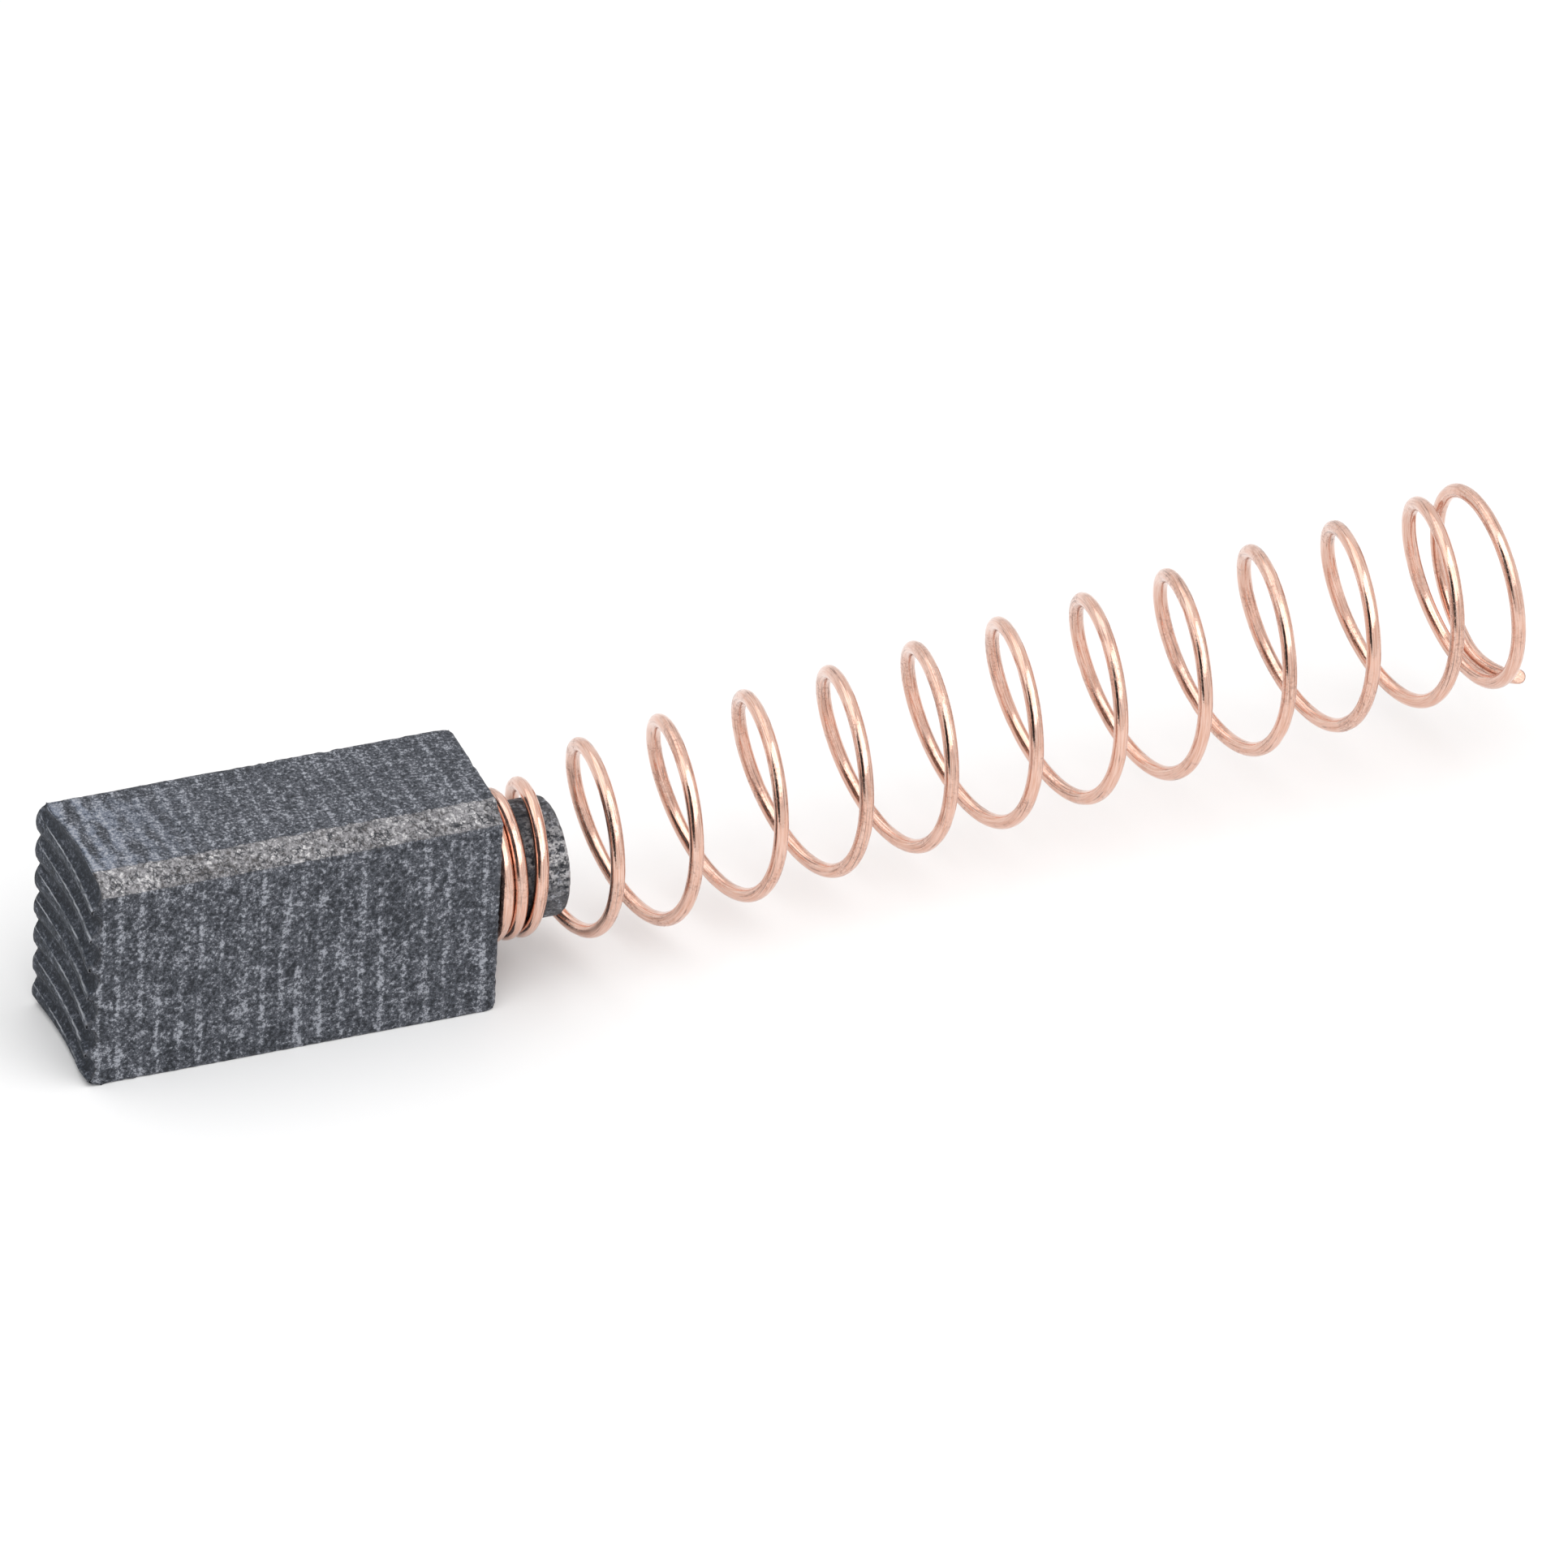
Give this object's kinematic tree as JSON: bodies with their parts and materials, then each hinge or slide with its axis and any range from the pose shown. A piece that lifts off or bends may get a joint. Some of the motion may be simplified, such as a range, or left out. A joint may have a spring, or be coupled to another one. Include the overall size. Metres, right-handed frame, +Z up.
{
  "type": "carbon brush",
  "caption": "Rectangular carbon block with a grooved, hollowed contact face and a round stub, gripped by a long open-wound wire spring.",
  "frame": {"origin": "middle of the block's underside, the narrow side that it rests on", "axes": "+X from the contact face to the spring's free end, +Y to the back, +Z up"},
  "size_m": [0.0514, 0.0087, 0.0096],
  "materials": {
    "carbon": "matte",
    "copper_wire": "gloss"
  },
  "bodies": {
    "root": {"carbon_block": "carbon", "spring": "copper_wire"}
  },
  "joints": []
}
